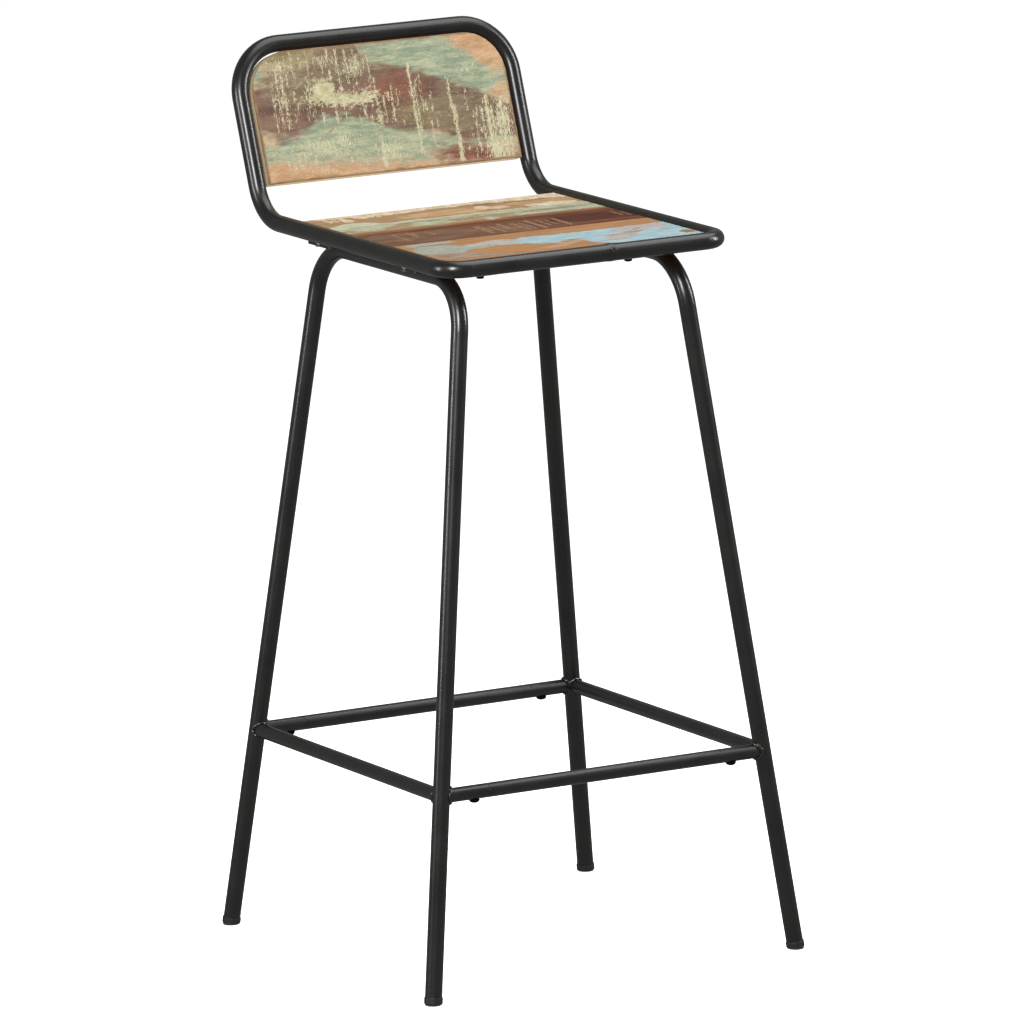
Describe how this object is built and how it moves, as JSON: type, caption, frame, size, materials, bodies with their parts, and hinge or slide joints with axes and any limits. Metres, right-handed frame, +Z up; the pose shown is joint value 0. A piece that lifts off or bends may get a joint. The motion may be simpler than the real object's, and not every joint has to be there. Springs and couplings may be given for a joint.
{
  "type": "bar stool with footrest",
  "caption": "Bar-height stool: bent black tube loop as seat frame and low back, splayed inverted-U leg frames, square tube footrest, reclaimed painted plank seat and back board.",
  "frame": {"origin": "on the floor, under the middle of the whole object's box", "axes": "+Z up, the sitter faces -Y, +X to the sitter's left, so the back leans towards +Y"},
  "size_m": [0.4824, 0.5312, 0.9867],
  "materials": {
    "black_powder_coat": "satin black powder coat over welded steel tube",
    "plank_light_blue": "reclaimed plank, light blue paint worn to tan wood, clear matt lacquer",
    "plank_chestnut": "reclaimed plank, dark chestnut stain with pale scratches, clear matt lacquer",
    "plank_mint": "reclaimed plank, mint green paint worn to brown wood, clear matt lacquer",
    "plank_cream": "reclaimed plank, cream paint peeling from ochre wood, clear matt lacquer",
    "board_sanded_paint": "reclaimed board, maroon, teal and cream paint sanded through in bands, clear matt lacquer",
    "foot_plastic": "moulded black polyethylene",
    "zinc_steel": "bright zinc plate",
    "black_bolt_steel": "black oxide",
    "spigot_steel": "bare turned steel"
  },
  "bodies": {
    "root": {"back_board": "board_sanded_paint", "back_screws": "zinc_steel", "back_tab_left_lower": "black_powder_coat", "back_tab_left_upper": "black_powder_coat", "back_tab_right_lower": "black_powder_coat", "back_tab_right_upper": "black_powder_coat", "foot_cap_front_left": "foot_plastic", "foot_cap_front_right": "foot_plastic", "foot_cap_rear_left": "foot_plastic", "foot_cap_rear_right": "foot_plastic", "footrest_bolts": "black_bolt_steel", "footrest_rail_front": "black_powder_coat", "footrest_rail_left": "black_powder_coat", "footrest_rail_rear": "black_powder_coat", "footrest_rail_right": "black_powder_coat", "footrest_spigot_front_left": "spigot_steel", "footrest_spigot_front_right": "spigot_steel", "footrest_spigot_rear_left": "spigot_steel", "footrest_spigot_rear_right": "spigot_steel", "footrest_stub_front_left": "black_powder_coat", "footrest_stub_front_right": "black_powder_coat", "footrest_stub_rear_left": "black_powder_coat", "footrest_stub_rear_right": "black_powder_coat", "leg_frame_left": "black_powder_coat", "leg_frame_right": "black_powder_coat", "leg_frame_welds_left": "black_powder_coat", "leg_frame_welds_right": "black_powder_coat", "mounting_plate_front_left": "black_powder_coat", "mounting_plate_front_right": "black_powder_coat", "mounting_plate_rear_left": "black_powder_coat", "mounting_plate_rear_right": "black_powder_coat", "seat_and_back_tube": "black_powder_coat", "seat_frame_inserts": "zinc_steel", "seat_frame_screws": "zinc_steel", "seat_frame_welds": "black_powder_coat", "seat_plank_front": "plank_light_blue", "seat_plank_rear": "plank_cream", "seat_plank_second": "plank_chestnut", "seat_plank_third": "plank_mint", "seat_screws": "black_bolt_steel", "seat_tab_front_left": "black_powder_coat", "seat_tab_front_right": "black_powder_coat", "seat_tab_left_middle": "black_powder_coat", "seat_tab_left_rear": "black_powder_coat", "seat_tab_right_middle": "black_powder_coat", "seat_tab_right_rear": "black_powder_coat"}
  },
  "joints": []
}
